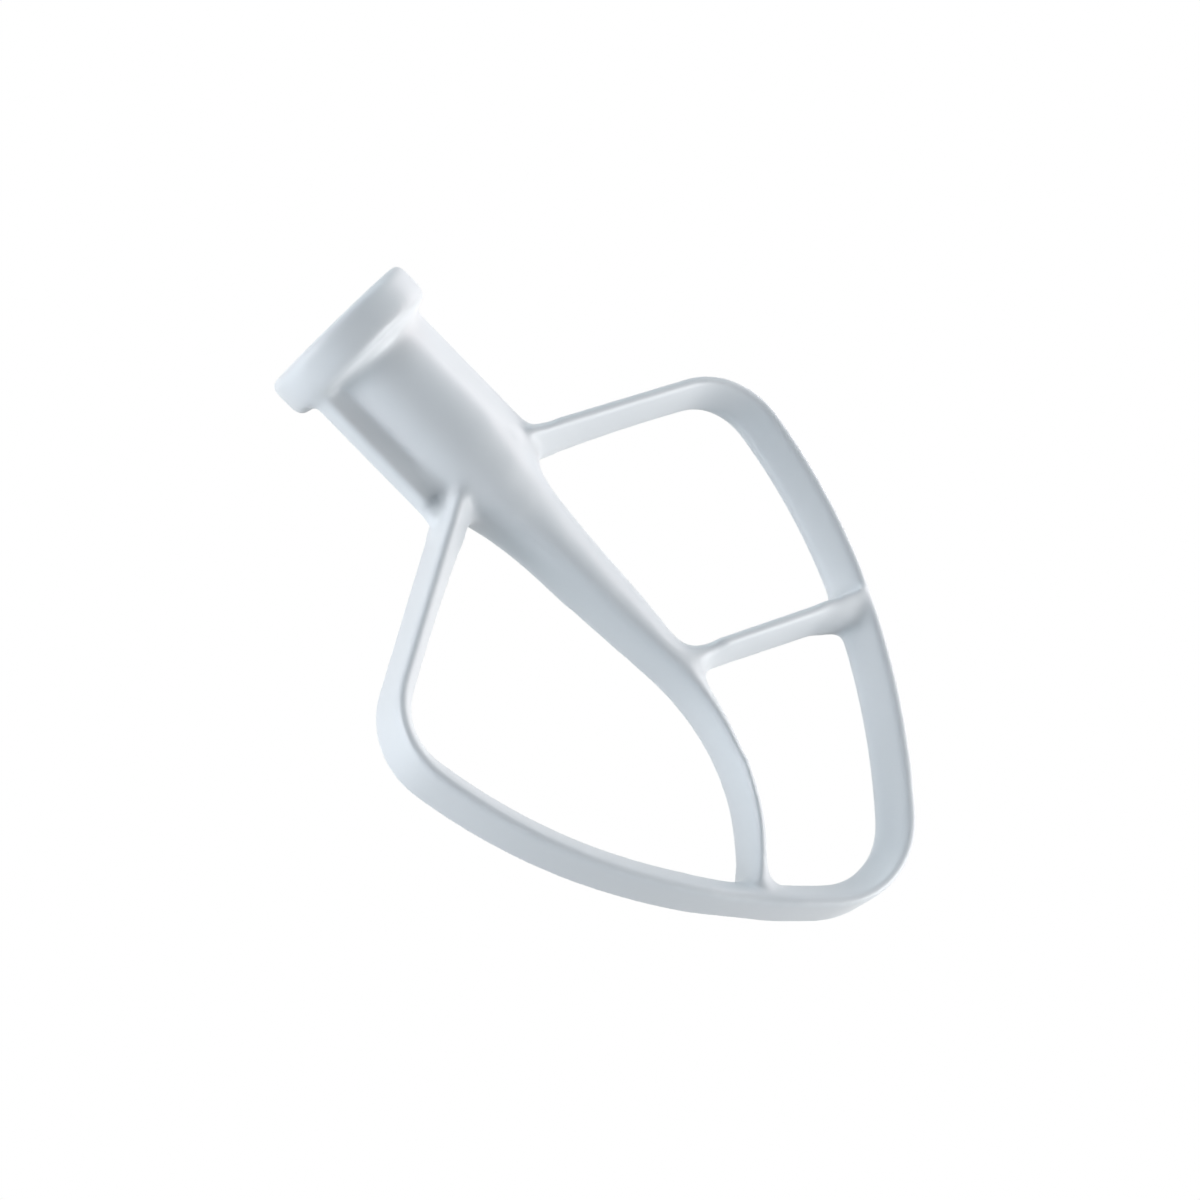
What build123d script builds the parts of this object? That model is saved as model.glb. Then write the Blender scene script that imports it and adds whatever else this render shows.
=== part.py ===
from build123d import *
from math import acos, atan2, cos, hypot, pi, radians, sin, sqrt, tan
import os

# Stand mixer flat beater: one aluminium casting with a white coating.
# Frame: millimetres, origin at the centre of the bore's mouth on the collar,
# +Z out of the bore along the shaft, the flat frame lies in the XZ plane.
# Heights named rise are measured up from the frame's tip.
height = 151.1
tip = -height

# Collar, boss and the drive shaft's bore
collar_radius = 16.9
collar_thickness = 8.6
collar_top_chamfer = 0.7
collar_rim_round = 1.8
collar_fillet = 3.2
boss_radius = 11.0
boss_rise = 117.6
boss_taper = 10.0
boss_bottom = tip + boss_rise
boss_end = boss_bottom - boss_taper
boss_end_radius = 9.3
shaft_diameter = 12.7
shaft_clearance = 0.15
bore_depth = 34.0
bore_radius = shaft_diameter / 2 + shaft_clearance

# Bayonet path for the shaft's cross pin, on the side away from the camera
pin_diameter = 4.0
pin_clearance = 0.2
pin_reach = 9.6
pin_depth = 18.0
pin_turn = 45.0
slot_width = pin_diameter + 2 * pin_clearance
slot_top = -13.0
slot_overrun = 1.0

# Fins between the boss and the frame
fin_reach = 15.4
fin_thickness = 5.0
fin_edge_round = 2.45
fin_root_fillet = 2.0

# Frame ring: outer outline arcs from the bottom tip up to the shoulder
bottom_radius = 20.7
bottom_angle = 40.8
lower_radius = 139.3
lower_angle = 19.1
upper_radius = 114.4
upper_angle = 19.9
shoulder_radius = 16.5
bar_slope = 24.2
bar_end_x = 6.0

# Frame section: flat outer face, tapering to a rounded inner nose
frame_half_depth = 6.6
frame_width = 5.9
frame_corner = 0.95
frame_nose = 2.6
shoulder_width = 5.0
shoulder_nose = 2.3
bar_root_width = 6.6
bar_root_nose = 2.7

# Spine: its flat face runs down the -X side, straight, then round an arc to the ring
knee_rise = 60.1
spine_knee = tip + knee_rise
spine_knee_x = -2.16
spine_lean = 5.04
spine_radius = 41.1
# share of the way down to the knee, then width, half depth, corner and nose
# as shares of the boss's foot radius
straight_stations = [
    (0.21, 1.484, 0.828, 0.376, 0.677),
    (0.61, 1.161, 0.742, 0.237, 0.516),
]
# angle turned on the arc, then the same four shares
curved_stations = [
    (0.0, 0.817, 0.694, 0.140, 0.344),
    (14.0, 0.570, 0.677, 0.108, 0.247),
    (28.0, 0.441, 0.667, 0.102, 0.204),
    (42.0, 0.419, 0.667, 0.102, 0.204),
    (54.0, 0.419, 0.667, 0.102, 0.204),
]
# the spine's foot: a fillet on its right side where it runs into the ring
foot_fillet = 5.0
foot_turn = 63.3
foot_turns = (57.5, 59.5, 61.0, 62.3, foot_turn, 65.5)
steepest_flare = 0.96

# Cross bar between the spine and the +X side of the ring, its flat face up
cross_rise = 60.8
cross_start = (1.0, tip + cross_rise)
cross_slope = 24.2
cross_length = 43.3
cross_width = 4.7
cross_end_width = 5.1
cross_half_depth = 6.0
cross_nose = 1.8

# Concave corners in the frame's plane. The first three are on the cross bar: distance
# along it to the wall that it meets, the fillet's radius and the web's thickness.
spine_side_angle = 84.0
ring_side_angle = 284.0
upper_wall = 4.3
upper_fillet = 5.5
upper_web = 3.5
lower_wall = 4.8
lower_fillet = 2.0
lower_web = 3.0
outer_wall = 41.0
outer_fillet = 6.0
outer_web = 3.0
bar_fin_fillet = 4.5
bar_fin_web = 3.0
web_sunk = 1.0


def tangent_points(c1, r1, c2, r2):
    """Ends of the outer tangent of two circles, on the right of the way from c1 to c2."""
    along = atan2(c2[1] - c1[1], c2[0] - c1[0])
    span = hypot(c2[0] - c1[0], c2[1] - c1[1])
    turn = along - acos((r1 - r2) / span)
    unit = (cos(turn), sin(turn))
    start = (c1[0] + r1 * unit[0], c1[1] + r1 * unit[1])
    end = (c2[0] + r2 * unit[0], c2[1] + r2 * unit[1])
    return start, end


def wedge(width, half_depth, corner, nose):
    """Bar section with its flat face on x = 0 and its nose at x = width.

    Two flats stand for each edge round, which keeps the facets few.
    """
    edge_centre = (corner, -(half_depth - corner))
    nose_centre = (width - nose, 0.0)
    start, end = tangent_points(edge_centre, corner, nose_centre, nose)
    reach = half_depth - corner
    skew = atan2(start[1] - edge_centre[1], start[0] - edge_centre[0])
    half = (pi + (skew + 2 * pi) % (2 * pi)) / 2
    knee = (corner + corner * cos(half), -reach + corner * sin(half))
    below = [(0, reach), (0, -reach), knee, start, end]
    above = [(x, -z) for x, z in reversed(below[1:])]
    flats = [Line(a, b) for a, b in zip(below, below[1:])]
    nose_arc = ThreePointArc(end, (width, 0), (end[0], -end[1]))
    rest = [Line(a, b) for a, b in zip(above, above[1:])]
    return make_face(flats + [nose_arc] + rest)


def flare(radius, distance):
    """Extra width that a fillet of this radius adds at a distance from the wall it meets."""
    reach = min(max(radius - distance, 0.0), steepest_flare * radius)
    return radius - sqrt(radius ** 2 - reach ** 2)


def round_section(radius):
    """Circle cut into the same edges as a wedge, its left side on x = 0."""
    def at(angle):
        return (radius + radius * cos(radians(angle)), radius * sin(radians(angle)))

    cuts = (150, 210, 227, 245, 290, 430, 475, 493, 510)
    arcs = []
    for a, b in zip(cuts[:-1], cuts[1:]):
        arcs.append(ThreePointArc(at(a), at((a + b) / 2), at(b)))
    return make_face(arcs)


def outline():
    """Right half of the frame's outer outline in (x, z), from the tip to the hub."""
    turned = 0.0
    at = (0.0, tip)
    pieces = []
    sides = ((bottom_radius, bottom_angle), (lower_radius, lower_angle), (upper_radius, upper_angle))
    total = 180 - bar_slope
    rest = total - bottom_angle - lower_angle - upper_angle
    for radius, sweep_angle in sides + ((shoulder_radius, rest),):
        arc = JernArc(at, (cos(radians(turned)), sin(radians(turned))), radius, sweep_angle)
        pieces.append(arc)
        at = tuple(arc @ 1)[:2]
        turned += sweep_angle
    run = at[0] - bar_end_x
    pieces.append(Line(at, (bar_end_x, at[1] + run * tan(radians(bar_slope)))))
    return pieces


def station(pieces, index, share):
    """Section plane on the outline: local x points inwards, local y along the object's Y."""
    edge = Plane.XZ * pieces[index]
    point = edge @ share
    along = edge % share
    inward = Vector(0, 1, 0).cross(along) * -1
    return Plane(origin=point, x_dir=inward, z_dir=along)


def frame_ring():
    """Right half of the ring, its shoulder and its top bar, mirrored to the left."""
    pieces = outline()
    edges = [Plane.XZ * piece for piece in pieces]
    full = wedge(frame_width, frame_half_depth, frame_corner, frame_nose)
    slim = wedge(shoulder_width, frame_half_depth, frame_corner, shoulder_nose)
    rim = sweep(station(pieces, 0, 0.0) * full, path=Wire(edges[:3]))
    root = wedge(bar_root_width, frame_half_depth, frame_corner, bar_root_nose)
    stations = (station(pieces, 3, 0.0), station(pieces, 4, 0.0), station(pieces, 4, 1.0))
    sections = [place * section for place, section in zip(stations, (full, slim, root))]
    arm = sweep(sections, path=Wire(edges[3:]), multisection=True)
    half = rim + arm
    return half + mirror(half, about=Plane.YZ)


def spine_face_x(z):
    """Flat face of the spine's straight part at height z."""
    return spine_knee_x - (z - spine_knee) * tan(radians(spine_lean))


def spine_wedge(shares, gain=0.0):
    """Spine section from its four shares of the boss's foot radius."""
    width, half_depth, corner, nose = [share * boss_end_radius for share in shares]
    return wedge(width + gain, half_depth, corner, nose)


def arc_plane(turn):
    """Section plane on the spine's arc, turned this many degrees past its knee."""
    centre_x = spine_knee_x - spine_radius * cos(radians(spine_lean))
    centre_z = spine_knee - spine_radius * sin(radians(spine_lean))
    angle = radians(spine_lean - turn)
    outward = (cos(angle), 0, sin(angle))
    origin = (centre_x + spine_radius * outward[0], 0, centre_z + spine_radius * outward[2])
    return Plane(origin=origin, x_dir=outward, z_dir=(sin(angle), 0, -cos(angle)))


def spine():
    """Spine lofted from the boss's round section to a slim wedge, and its foot on the ring."""
    top = Plane(origin=(-boss_end_radius, 0, boss_end), x_dir=(1, 0, 0), z_dir=(0, 0, -1))
    sections = [top * round_section(boss_end_radius)]
    for share, *sizes in straight_stations:
        z = boss_end + share * (spine_knee - boss_end)
        plane = Plane(origin=(spine_face_x(z), 0, z), x_dir=(1, 0, 0), z_dir=(0, 0, -1))
        sections.append(plane * spine_wedge(sizes))
    for turn, *sizes in curved_stations:
        sections.append(arc_plane(turn) * spine_wedge(sizes))
    foot = [sections[-1]]
    for turn in foot_turns:
        gain = flare(foot_fillet, radians(foot_turn - turn) * spine_radius)
        foot.append(arc_plane(turn) * spine_wedge(sizes, gain))
    return loft(sections) + loft(foot)


def collar():
    """Collar with the fillet under it, turned about the shaft's axis."""
    r1, r2, t = collar_radius, boss_radius, collar_thickness
    a, b, f = collar_top_chamfer, collar_rim_round, collar_fillet
    rim = (r1 - b + b * sin(pi / 4), -t + b - b * cos(pi / 4))
    profile = [
        Line((0, 0), (r1 - a, 0)),
        Line((r1 - a, 0), (r1, -a)),
        Line((r1, -a), (r1, -t + b)),
        Line((r1, -t + b), rim),
        Line(rim, (r1 - b, -t)),
        Line((r1 - b, -t), (r2 + f, -t)),
        CenterArc((r2 + f, -t - f), f, 90, 90),
        Line((r2, -t - f), (0, -t - f)),
        Line((0, -t - f), (0, 0)),
    ]
    face = make_face([Plane.XZ * piece for piece in profile])
    return revolve(face, axis=Axis.Z)


def hub_profile(radius):
    """Boss with a fin on each side, the four hollows between them rounded."""
    blade = Rectangle(2 * fin_reach, fin_thickness)
    blade = fillet(blade.vertices(), fin_edge_round)
    profile = Circle(radius) + blade
    inner = [v for v in profile.vertices() if abs(v.X) < radius]
    return fillet(inner, fin_root_fillet)


def hub():
    """Boss and fins, straight under the collar and tapering between the top bars."""
    top = Pos(0, 0, boss_bottom) * hub_profile(boss_radius)
    bottom = Pos(0, 0, boss_end) * hub_profile(boss_end_radius)
    upper = extrude(top, amount=-boss_bottom - collar_thickness / 2)
    return upper + loft([bottom, top])


def on_cross(run, drop):
    """Point (x, z) this far along the cross bar and this far below its flat face."""
    slope = radians(cross_slope)
    x = cross_start[0] + run * cos(slope) - drop * sin(slope)
    z = cross_start[1] - run * sin(slope) - drop * cos(slope)
    return x, z


def cross_bar():
    """Short bar from the spine to the ring."""
    slope = radians(cross_slope)
    sections = []
    for run, width in ((0.0, cross_width), (cross_length, cross_end_width)):
        x, z = on_cross(run, 0.0)
        down = (-sin(slope), 0, -cos(slope))
        along = (cos(slope), 0, -sin(slope))
        plane = Plane(origin=(x, 0, z), x_dir=down, z_dir=along)
        sections.append(plane * wedge(width, cross_half_depth, frame_corner, cross_nose))
    return loft(sections)


def corner_web(x, z, first, second, radius, thickness):
    """Concave corner piece between two bars that leave (x, z) at two angles in degrees."""
    half = radians(second - first) / 2
    middle = radians(first + second) / 2
    reach = radius / tan(half)
    out = radius / sin(half)

    def off(angle, length):
        return (x + length * cos(angle), z + length * sin(angle))

    start = off(radians(first), reach)
    end = off(radians(second), reach)
    dip = off(middle, out - radius)
    deep = off(middle, -web_sunk / sin(half))
    low = (start[0] + web_sunk * sin(radians(first)), start[1] - web_sunk * cos(radians(first)))
    high = (end[0] - web_sunk * sin(radians(second)), end[1] + web_sunk * cos(radians(second)))
    hollow = ThreePointArc(start, dip, end)
    sunk = [Line(end, high), Line(high, deep), Line(deep, low), Line(low, start)]
    return extrude(Plane.XZ * make_face([hollow] + sunk), amount=thickness / 2, both=True)


def bar_face_z(x):
    """Height of the right top bar's outer face."""
    line = outline()[-1]
    return (line @ 1).Y - (x - (line @ 1).X) * tan(radians(bar_slope))


def webs():
    """All the corner pieces: three at the cross bar and one over each top bar."""
    above = on_cross(upper_wall, 0.0)
    upper = corner_web(*above, -cross_slope, spine_side_angle, upper_fillet, upper_web)
    below = on_cross(lower_wall, cross_width)
    lower = corner_web(*below, spine_side_angle - 180, -cross_slope, lower_fillet, lower_web)
    beyond = on_cross(outer_wall, cross_end_width)
    outer = corner_web(*beyond, 180 - cross_slope, ring_side_angle, outer_fillet, outer_web)
    root = (fin_reach, bar_face_z(fin_reach))
    fin = corner_web(*root, -bar_slope, 90.0, bar_fin_fillet, bar_fin_web)
    return [upper, lower, outer, fin, mirror(fin, about=Plane.YZ)]


def bore():
    """Blind bore with a keyway from its mouth and the bayonet slot at the keyway's foot."""
    hole = Pos(0, 0, -bore_depth / 2) * Cylinder(bore_radius, bore_depth)
    way_bottom = -pin_depth - slot_width / 2
    key = Pos(0, pin_reach / 2, way_bottom / 2) * Box(slot_width, pin_reach, -way_bottom)
    window_height = slot_top - way_bottom
    through = boss_radius + slot_overrun
    window = Pos(0, through / 2, slot_top - window_height / 2) * Box(slot_width, through, window_height)
    on_axis = (Align.NONE, Align.NONE, Align.CENTER)
    swept = Cylinder(through, slot_width, arc_size=pin_turn, align=on_axis)
    sector = Pos(0, 0, -pin_depth) * Rot(0, 0, 90 - pin_turn) * swept
    stop_face = Box(slot_width, through, slot_width, align=(Align.CENTER, Align.MIN, Align.CENTER))
    stop = Pos(0, 0, -pin_depth) * Rot(0, 0, -pin_turn) * stop_face
    return hole + key + window + sector + stop


def casting():
    """The whole casting as one solid."""
    body = collar()
    for piece in [hub(), spine(), frame_ring(), cross_bar()] + webs():
        body = body + piece
    return body - bore()


body = casting()
os.makedirs("parts", exist_ok=True)
export_step(body, "parts/flat_beater.step")
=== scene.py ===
from math import acos, cos, radians, sin

import bmesh
import bpy
from mathutils import Matrix, Vector


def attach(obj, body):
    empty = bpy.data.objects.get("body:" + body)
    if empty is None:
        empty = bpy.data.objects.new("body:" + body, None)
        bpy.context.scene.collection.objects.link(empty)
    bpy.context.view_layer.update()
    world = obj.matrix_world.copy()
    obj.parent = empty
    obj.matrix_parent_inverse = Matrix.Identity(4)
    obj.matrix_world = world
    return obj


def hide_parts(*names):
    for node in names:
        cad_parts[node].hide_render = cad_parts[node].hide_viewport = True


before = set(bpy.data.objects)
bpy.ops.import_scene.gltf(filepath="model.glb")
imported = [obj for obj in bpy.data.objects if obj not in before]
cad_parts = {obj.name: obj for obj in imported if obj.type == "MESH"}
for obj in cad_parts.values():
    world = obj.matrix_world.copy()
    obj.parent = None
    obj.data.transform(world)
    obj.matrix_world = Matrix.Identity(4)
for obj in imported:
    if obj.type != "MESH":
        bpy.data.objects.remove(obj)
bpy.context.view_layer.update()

# The casting: collar, hub, spine, cross bar and ring, poured in aluminium in one piece and
# coated white. The CAD node's skin, with three small blocks merged in, is laid out again in
# even cells. Then inner corners are filled and outer edges eased, as a casting has them.
cell, merge_gap = 0.00055, 1e-6
corner_fill = 0.0036
collar_foot = -0.0095
boss_radius, fin_reach = 0.011, 0.0154
bore_keep, bore_floor = 0.0102, -0.036
pocket_corner, pocket_half, pocket_foot = Vector((-0.0103, -0.0034)), 0.0021, -0.0335


def bar_end(bm):
    """Last stretch of the cross bar, deep enough to run over the ring to its outer edge."""
    start, slope = Vector((0.001, 0, -0.0903)), radians(24.2)
    along = Vector((cos(slope), 0, -sin(slope)))
    down = Vector((-sin(slope), 0, -cos(slope)))
    # Each end: distance along the bar, width, half depth of the upper edge and of the nose.
    ends = ((0.034, 0.0050, 0.0061, 0.0018), (0.0446, 0.0066, 0.0074, 0.0040))
    corners = []
    for run, width, half_depth, nose in ends:
        at = start + along * run
        for side in (-1, 1):
            corners.append(at + Vector((0, side * half_depth, 0)))
            corners.append(at + down * width + Vector((0, side * nose, 0)))
    made = [bm.verts.new(point) for point in corners]
    bmesh.ops.convex_hull(bm, input=made)


def fin_cheek(bm, side):
    """Front of one fin: the left one ends at a pocket, the right one runs out on the boss."""
    root, top, steps = 0.0106, -0.008, 6
    foot, tip = {-1: (-0.0365, -0.040), 1: (-0.0400, -0.050)}[side]
    tip_out, tip_front = 0.0085, -0.002
    section = [Vector((root * side, 0))]
    if side < 0:
        # A squared block with a small round on its edge, up to the pocket's corner.
        radius, face, last = 0.0010, 0.0034, radians(90)
        centre = Vector((fin_reach - radius, radius - face))
        section += [Vector((-fin_reach, 0)), pocket_corner]
    else:
        # A flat that touches the boss and the fin's round, and starts just inside the boss.
        radius, centre_out, sinks = 0.004, 0.0111, (0.0001, 0.0006)
        centre = Vector((centre_out, 0))
        last = acos((boss_radius - radius) / centre_out)
        flank = Vector((cos(last), -sin(last)))
        section += [flank * (boss_radius - sink) for sink in sinks]
    for step in range(steps + 1):
        angle = last * step / steps
        out = side * (centre.x + radius * cos(angle))
        section.append(Vector((out, centre.y - radius * sin(angle))))
    made = [bm.verts.new((at.x, at.y, level)) for at in section for level in (top, foot)]
    made.append(bm.verts.new((side * tip_out, tip_front, tip)))
    bmesh.ops.convex_hull(bm, input=made)


def new_object(name, data):
    """Object that holds this data, linked into the scene."""
    made = bpy.data.objects.new(name, data)
    bpy.context.scene.collection.objects.link(made)
    return made


def even_skin(node, name):
    """Copy of a CAD node with the blocks merged in and its skin in cells of one size."""
    bm = bmesh.new()
    bm.from_mesh(node.data)
    bmesh.ops.remove_doubles(bm, verts=bm.verts, dist=merge_gap)
    bar_end(bm)
    fin_cheek(bm, -1)
    fin_cheek(bm, 1)
    mesh = bpy.data.meshes.new(name)
    bm.to_mesh(mesh)
    bm.free()
    piece = new_object(name, mesh)
    even = piece.modifiers.new("even", "REMESH")
    even.mode = "VOXEL"
    even.voxel_size = cell
    graph = bpy.context.evaluated_depsgraph_get()
    piece.data = bpy.data.meshes.new_from_object(piece.evaluated_get(graph))
    piece.modifiers.clear()
    return piece


def in_bore(point):
    """The bore, keyway and pin slot stay crisp, because the shaft fits there."""
    return point.z > bore_floor and Vector(point.xy).length < bore_keep


def in_pocket(point):
    """The corner of the pocket between the left fin and the boss stays fairly crisp."""
    off_corner = (Vector(point.xy) - pocket_corner).length
    return pocket_foot < point.z < collar_foot and off_corner < pocket_half


def in_box(point, box):
    """True within the limits left, right, foot and top, as seen from the front."""
    low_x, high_x, low_z, high_z = box
    return low_x < point.x < high_x and low_z < point.z < high_z


def ease(bm, verts, times):
    """Moves these vertices half way to the middle of their neighbours, a number of times."""
    axes = {"use_axis_x": True, "use_axis_y": True, "use_axis_z": True}
    for _ in range(times):
        bmesh.ops.smooth_vert(bm, verts=verts, factor=0.5, **axes)


def hollow(vert, least):
    """True where the skin is dished more tightly than the least lift allows."""
    middle = Vector()
    for edge in vert.link_edges:
        middle += edge.other_vert(vert).co
    return (middle / len(vert.link_edges) - vert.co).dot(vert.normal) > least


def fill_corners(bm, radius, times):
    """Fills inner corners that are tighter than the radius, a little at a time."""
    # In a trough, two of four neighbours lie cell ** 2 / (2 * radius) above a vertex.
    least = cell ** 2 / (4 * radius)
    watched = [v for v in bm.verts if not in_bore(v.co) and not in_pocket(v.co)]
    for _ in range(times):
        bm.normal_update()
        tight = [v for v in watched if hollow(v, least)]
        ease(bm, tight, 1)
        ring = set(tight)
        for vert in tight:
            ring.update(edge.other_vert(vert) for edge in vert.link_edges)
        watched = [v for v in ring if not in_bore(v.co) and not in_pocket(v.co)]


# How many times each area is eased, in this order, and the limits of the areas.
rounds = {
    "skin": 3, "corners": 75, "shoulder": 33, "bars": 14, "collar": 11,
    "spine": 20, "spine_front": 80, "fin_foot": 24, "spine_foot": 7, "last": 4,
}
shoulder_top, shoulder_foot, shoulder_radius = -0.029, -0.052, 0.0125
spine_box = (-0.030, 0.006, -0.128, -0.070)
spine_front_box, spine_front_depth = (-0.022, 0.010, -0.114, -0.050), -0.001
fin_foot_at, fin_foot_reach = Vector((0.0165, -0.0385)), 0.0045
spine_foot_at, spine_foot_reaches = Vector((-0.0235, -0.1305)), (0.009, 0.007, 0.0055, 0.004)

casting = even_skin(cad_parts["flat_beater"], "beater_casting")
bm = bmesh.new()
bm.from_mesh(casting.data)
outside = [v for v in bm.verts if not in_bore(v.co)]
ease(bm, outside, rounds["skin"])
fill_corners(bm, corner_fill, rounds["corners"])
shoulder = [v for v in outside if shoulder_foot < v.co.z < shoulder_top]
shoulder = [v for v in shoulder if Vector(v.co.xy).length < shoulder_radius]
ease(bm, shoulder, rounds["shoulder"])
bars = [v for v in outside if v.co.z < shoulder_foot or abs(v.co.x) > fin_reach]
ease(bm, bars, rounds["bars"])
collar = [v for v in outside if v.co.z > collar_foot]
ease(bm, collar, rounds["collar"])
spine = [v for v in outside if in_box(v.co, spine_box)]
ease(bm, spine, rounds["spine"])
spine_front = [v for v in outside if in_box(v.co, spine_front_box) and v.co.y < spine_front_depth]
ease(bm, spine_front, rounds["spine_front"])
front = [v for v in outside if v.co.y < 0]
fin_foot = [v for v in front if (Vector(v.co.xz) - fin_foot_at).length < fin_foot_reach]
ease(bm, fin_foot, rounds["fin_foot"])
for reach in spine_foot_reaches:
    spine_foot = [v for v in outside if (Vector(v.co.xz) - spine_foot_at).length < reach]
    ease(bm, spine_foot, rounds["spine_foot"])
ease(bm, [v for v in outside if not in_pocket(v.co)], rounds["last"])
for face in bm.faces:
    face.smooth = True
bm.to_mesh(casting.data)
bm.free()


class Socket:
    """A shader socket that takes part in plain arithmetic."""

    def __init__(self, tree, socket):
        self.tree = tree
        self.socket = socket

    def node(self, kind, settings=None, **inputs):
        """Adds a node, sets it up, feeds its sockets and returns its first output."""
        made = self.tree.nodes.new(kind)
        for name, value in (settings or {}).items():
            setattr(made, name, value)
        for name, value in inputs.items():
            place = int(name[1:]) if name[0] == "i" and name[1:].isdigit() else name.replace("_", " ")
            if isinstance(value, Socket):
                self.tree.links.new(value.socket, made.inputs[place])
            else:
                made.inputs[place].default_value = value
        return Socket(self.tree, made.outputs[0])

    def maths(self, operation, first, second):
        """Adds a Math node for the operation."""
        return self.node("ShaderNodeMath", {"operation": operation}, i0=first, i1=second)

    def __add__(self, other):
        return self.maths("ADD", self, other)

    def __radd__(self, other):
        return self.maths("ADD", other, self)

    def __mul__(self, other):
        return self.maths("MULTIPLY", self, other)

    def __rmul__(self, other):
        return self.maths("MULTIPLY", other, self)


def satin_coating():
    """White satin coating, baked on: a faint orange peel, and a little cloudiness."""
    dull_white, clear_white = (0.812, 0.828, 0.848, 1), (0.850, 0.862, 0.872, 1)
    even_rough, cloud_rough, peel_rough = 0.33, 0.10, 0.04
    peel_height, speck_height = 0.7, 0.3
    material = bpy.data.materials.new("white_coating")
    material.use_nodes = True
    tree = material.node_tree
    shader = tree.nodes["Principled BSDF"]
    place = Socket(tree, tree.nodes.new("ShaderNodeTexCoord").outputs["Object"])
    cloud = place.node("ShaderNodeTexNoise", Vector=place, Scale=55.0, Detail=3.0, Roughness=0.55)
    peel = place.node("ShaderNodeTexNoise", Vector=place, Scale=900.0, Detail=2.0, Roughness=0.5)
    speck = place.node("ShaderNodeTexNoise", Vector=place, Scale=2600.0, Detail=1.0, Roughness=0.5)
    mix = place.node("ShaderNodeMix", {"data_type": "RGBA"}, Factor=cloud).socket.node
    mix.inputs["A"].default_value = dull_white
    mix.inputs["B"].default_value = clear_white
    tree.links.new(mix.outputs["Result"], shader.inputs["Base Color"])
    roughness = even_rough + cloud_rough * cloud + peel_rough * peel
    tree.links.new(roughness.socket, shader.inputs["Roughness"])
    height = peel * peel_height + speck * speck_height
    bump = place.node("ShaderNodeBump", Height=height, Strength=0.10, Distance=0.00006)
    tree.links.new(bump.socket, shader.inputs["Normal"])
    shader.inputs["IOR"].default_value = 1.5
    return material


casting.data.materials.append(satin_coating())
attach(casting, "root")
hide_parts("flat_beater")

# The floor, well below the hanging beater: a plain white board. It shows as white to the
# camera and in reflections, and a share of plain paint keeps a faint shadow on it.
floor_level, floor_radius, floor_sides = -1.2, 3.0, 96
paint_white, paint_rough = (0.85, 0.86, 0.87, 1), 0.9
white_share = 0.9


def plain_rays(tree):
    """1 for the camera's rays and for reflections, which see plain white, and else 0."""
    rays = tree.nodes.new("ShaderNodeLightPath")
    return Socket(tree, rays.outputs["Is Camera Ray"]) + Socket(tree, rays.outputs["Is Glossy Ray"])


def blend_to(output, share, first, second):
    """Mixes two shaders, with this share of the second, and feeds the output node."""
    tree = share.tree
    blend = tree.nodes.new("ShaderNodeMixShader")
    tree.links.new(share.socket, blend.inputs["Fac"])
    tree.links.new(first, blend.inputs[1])
    tree.links.new(second, blend.inputs[2])
    tree.links.new(blend.outputs["Shader"], tree.nodes[output].inputs["Surface"])


bm = bmesh.new()
bmesh.ops.create_circle(bm, cap_ends=True, segments=floor_sides, radius=floor_radius)
bmesh.ops.translate(bm, verts=bm.verts, vec=(0, 0, floor_level))
board = bpy.data.meshes.new("floor")
bm.to_mesh(board)
bm.free()
floor = new_object("floor", board)
paint = bpy.data.materials.new("floor_white")
paint.use_nodes = True
shader = paint.node_tree.nodes["Principled BSDF"]
shader.inputs["Base Color"].default_value = paint_white
shader.inputs["Roughness"].default_value = paint_rough
plain = plain_rays(paint.node_tree)
white = plain.node("ShaderNodeEmission", Color=(1, 1, 1, 1), Strength=1.0)
blend_to("Material Output", plain * white_share, shader.outputs["BSDF"], white.socket)
board.materials.append(paint)

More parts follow.
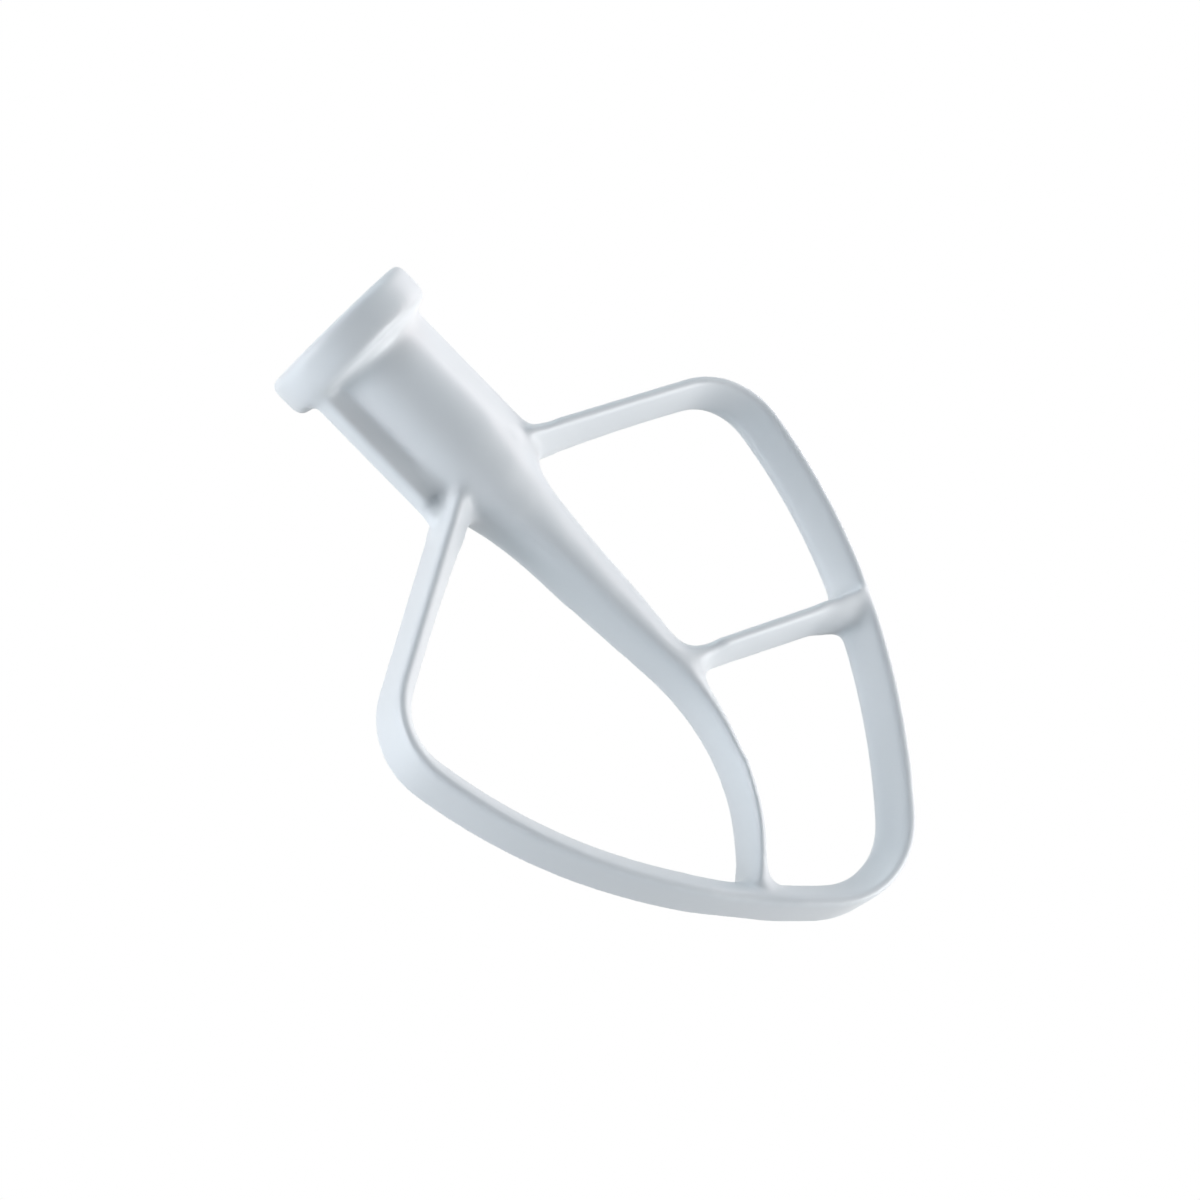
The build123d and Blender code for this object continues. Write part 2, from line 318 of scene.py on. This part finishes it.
# The camera: it looks at the beater from the front left with its top turned to the
# upper left, as in the photograph. A plain view keeps white as white.
azimuth, elevation, roll = radians(33.011), radians(4.231), radians(90 - 45.648)
middle, distance = Vector((0, 0, -0.0755)), 0.802191
back = Vector((-sin(azimuth) * cos(elevation), -cos(azimuth) * cos(elevation), sin(elevation)))
level = Vector((cos(azimuth), -sin(azimuth), 0))
rise = back.cross(level)
right = cos(roll) * level - sin(roll) * rise
upward = sin(roll) * level + cos(roll) * rise
lens = bpy.data.cameras.new("camera")
lens.sensor_width = 36
lens.lens = 125.64
lens.shift_x = -0.0085
lens.shift_y = 0.00636
lens.clip_end = 20
camera = new_object("camera", lens)
turn = Matrix((right, upward, back)).transposed().to_4x4()
camera.matrix_world = Matrix.Translation(middle + back * distance) @ turn
bpy.context.scene.camera = camera
bpy.context.scene.view_settings.view_transform = "Standard"

# The light: soft panels round the beater in a dim room. The strong one stands low on the
# right, and the others fill in from above, from the left, from the front and from behind.
# To the camera and in reflections the room is plain white.
panel_size, panel_distance = 0.6, 0.9
room_tint, room_strength = (0.80, 0.90, 1.0, 1), 0.05
# Each panel: name, where it stands from the beater, watts and colour.
panels = (
    ("right_panel", 0.95 * right - 0.31 * upward, 7.7, (0.975, 0.99, 1.0)),
    ("side_panel", -0.85 * right + 0.53 * back, 5.1, (0.965, 0.97, 1.0)),
    ("top_panel", upward, 3.9, (0.81, 0.93, 1.0)),
    ("rear_panel", 0.72 * right + 0.53 * upward - 0.45 * back, 2.7, (1.0, 0.91, 0.92)),
    ("front_panel", -0.43 * right - 0.31 * upward + 0.85 * back, 1.1, (0.60, 0.84, 1.0)),
    ("left_panel", -0.95 * right - 0.31 * upward, 2.3, (0.82, 0.93, 1.0)),
)
for name, towards, power, colour in panels:
    towards = towards.normalized()
    lamp = bpy.data.lights.new(name, "AREA")
    lamp.size = panel_size
    lamp.energy = power
    lamp.color = colour
    panel = new_object(name, lamp)
    panel.location = middle + towards * panel_distance
    panel.rotation_euler = towards.to_track_quat("Z", "Y").to_euler()
room = bpy.data.worlds.new("room")
bpy.context.scene.world = room
room.use_nodes = True
soft = room.node_tree.nodes["Background"]
soft.inputs["Color"].default_value = room_tint
soft.inputs["Strength"].default_value = room_strength
plain = plain_rays(room.node_tree)
white = plain.node("ShaderNodeBackground", Color=(1, 1, 1, 1))
blend_to("World Output", plain, soft.outputs["Background"], white.socket)
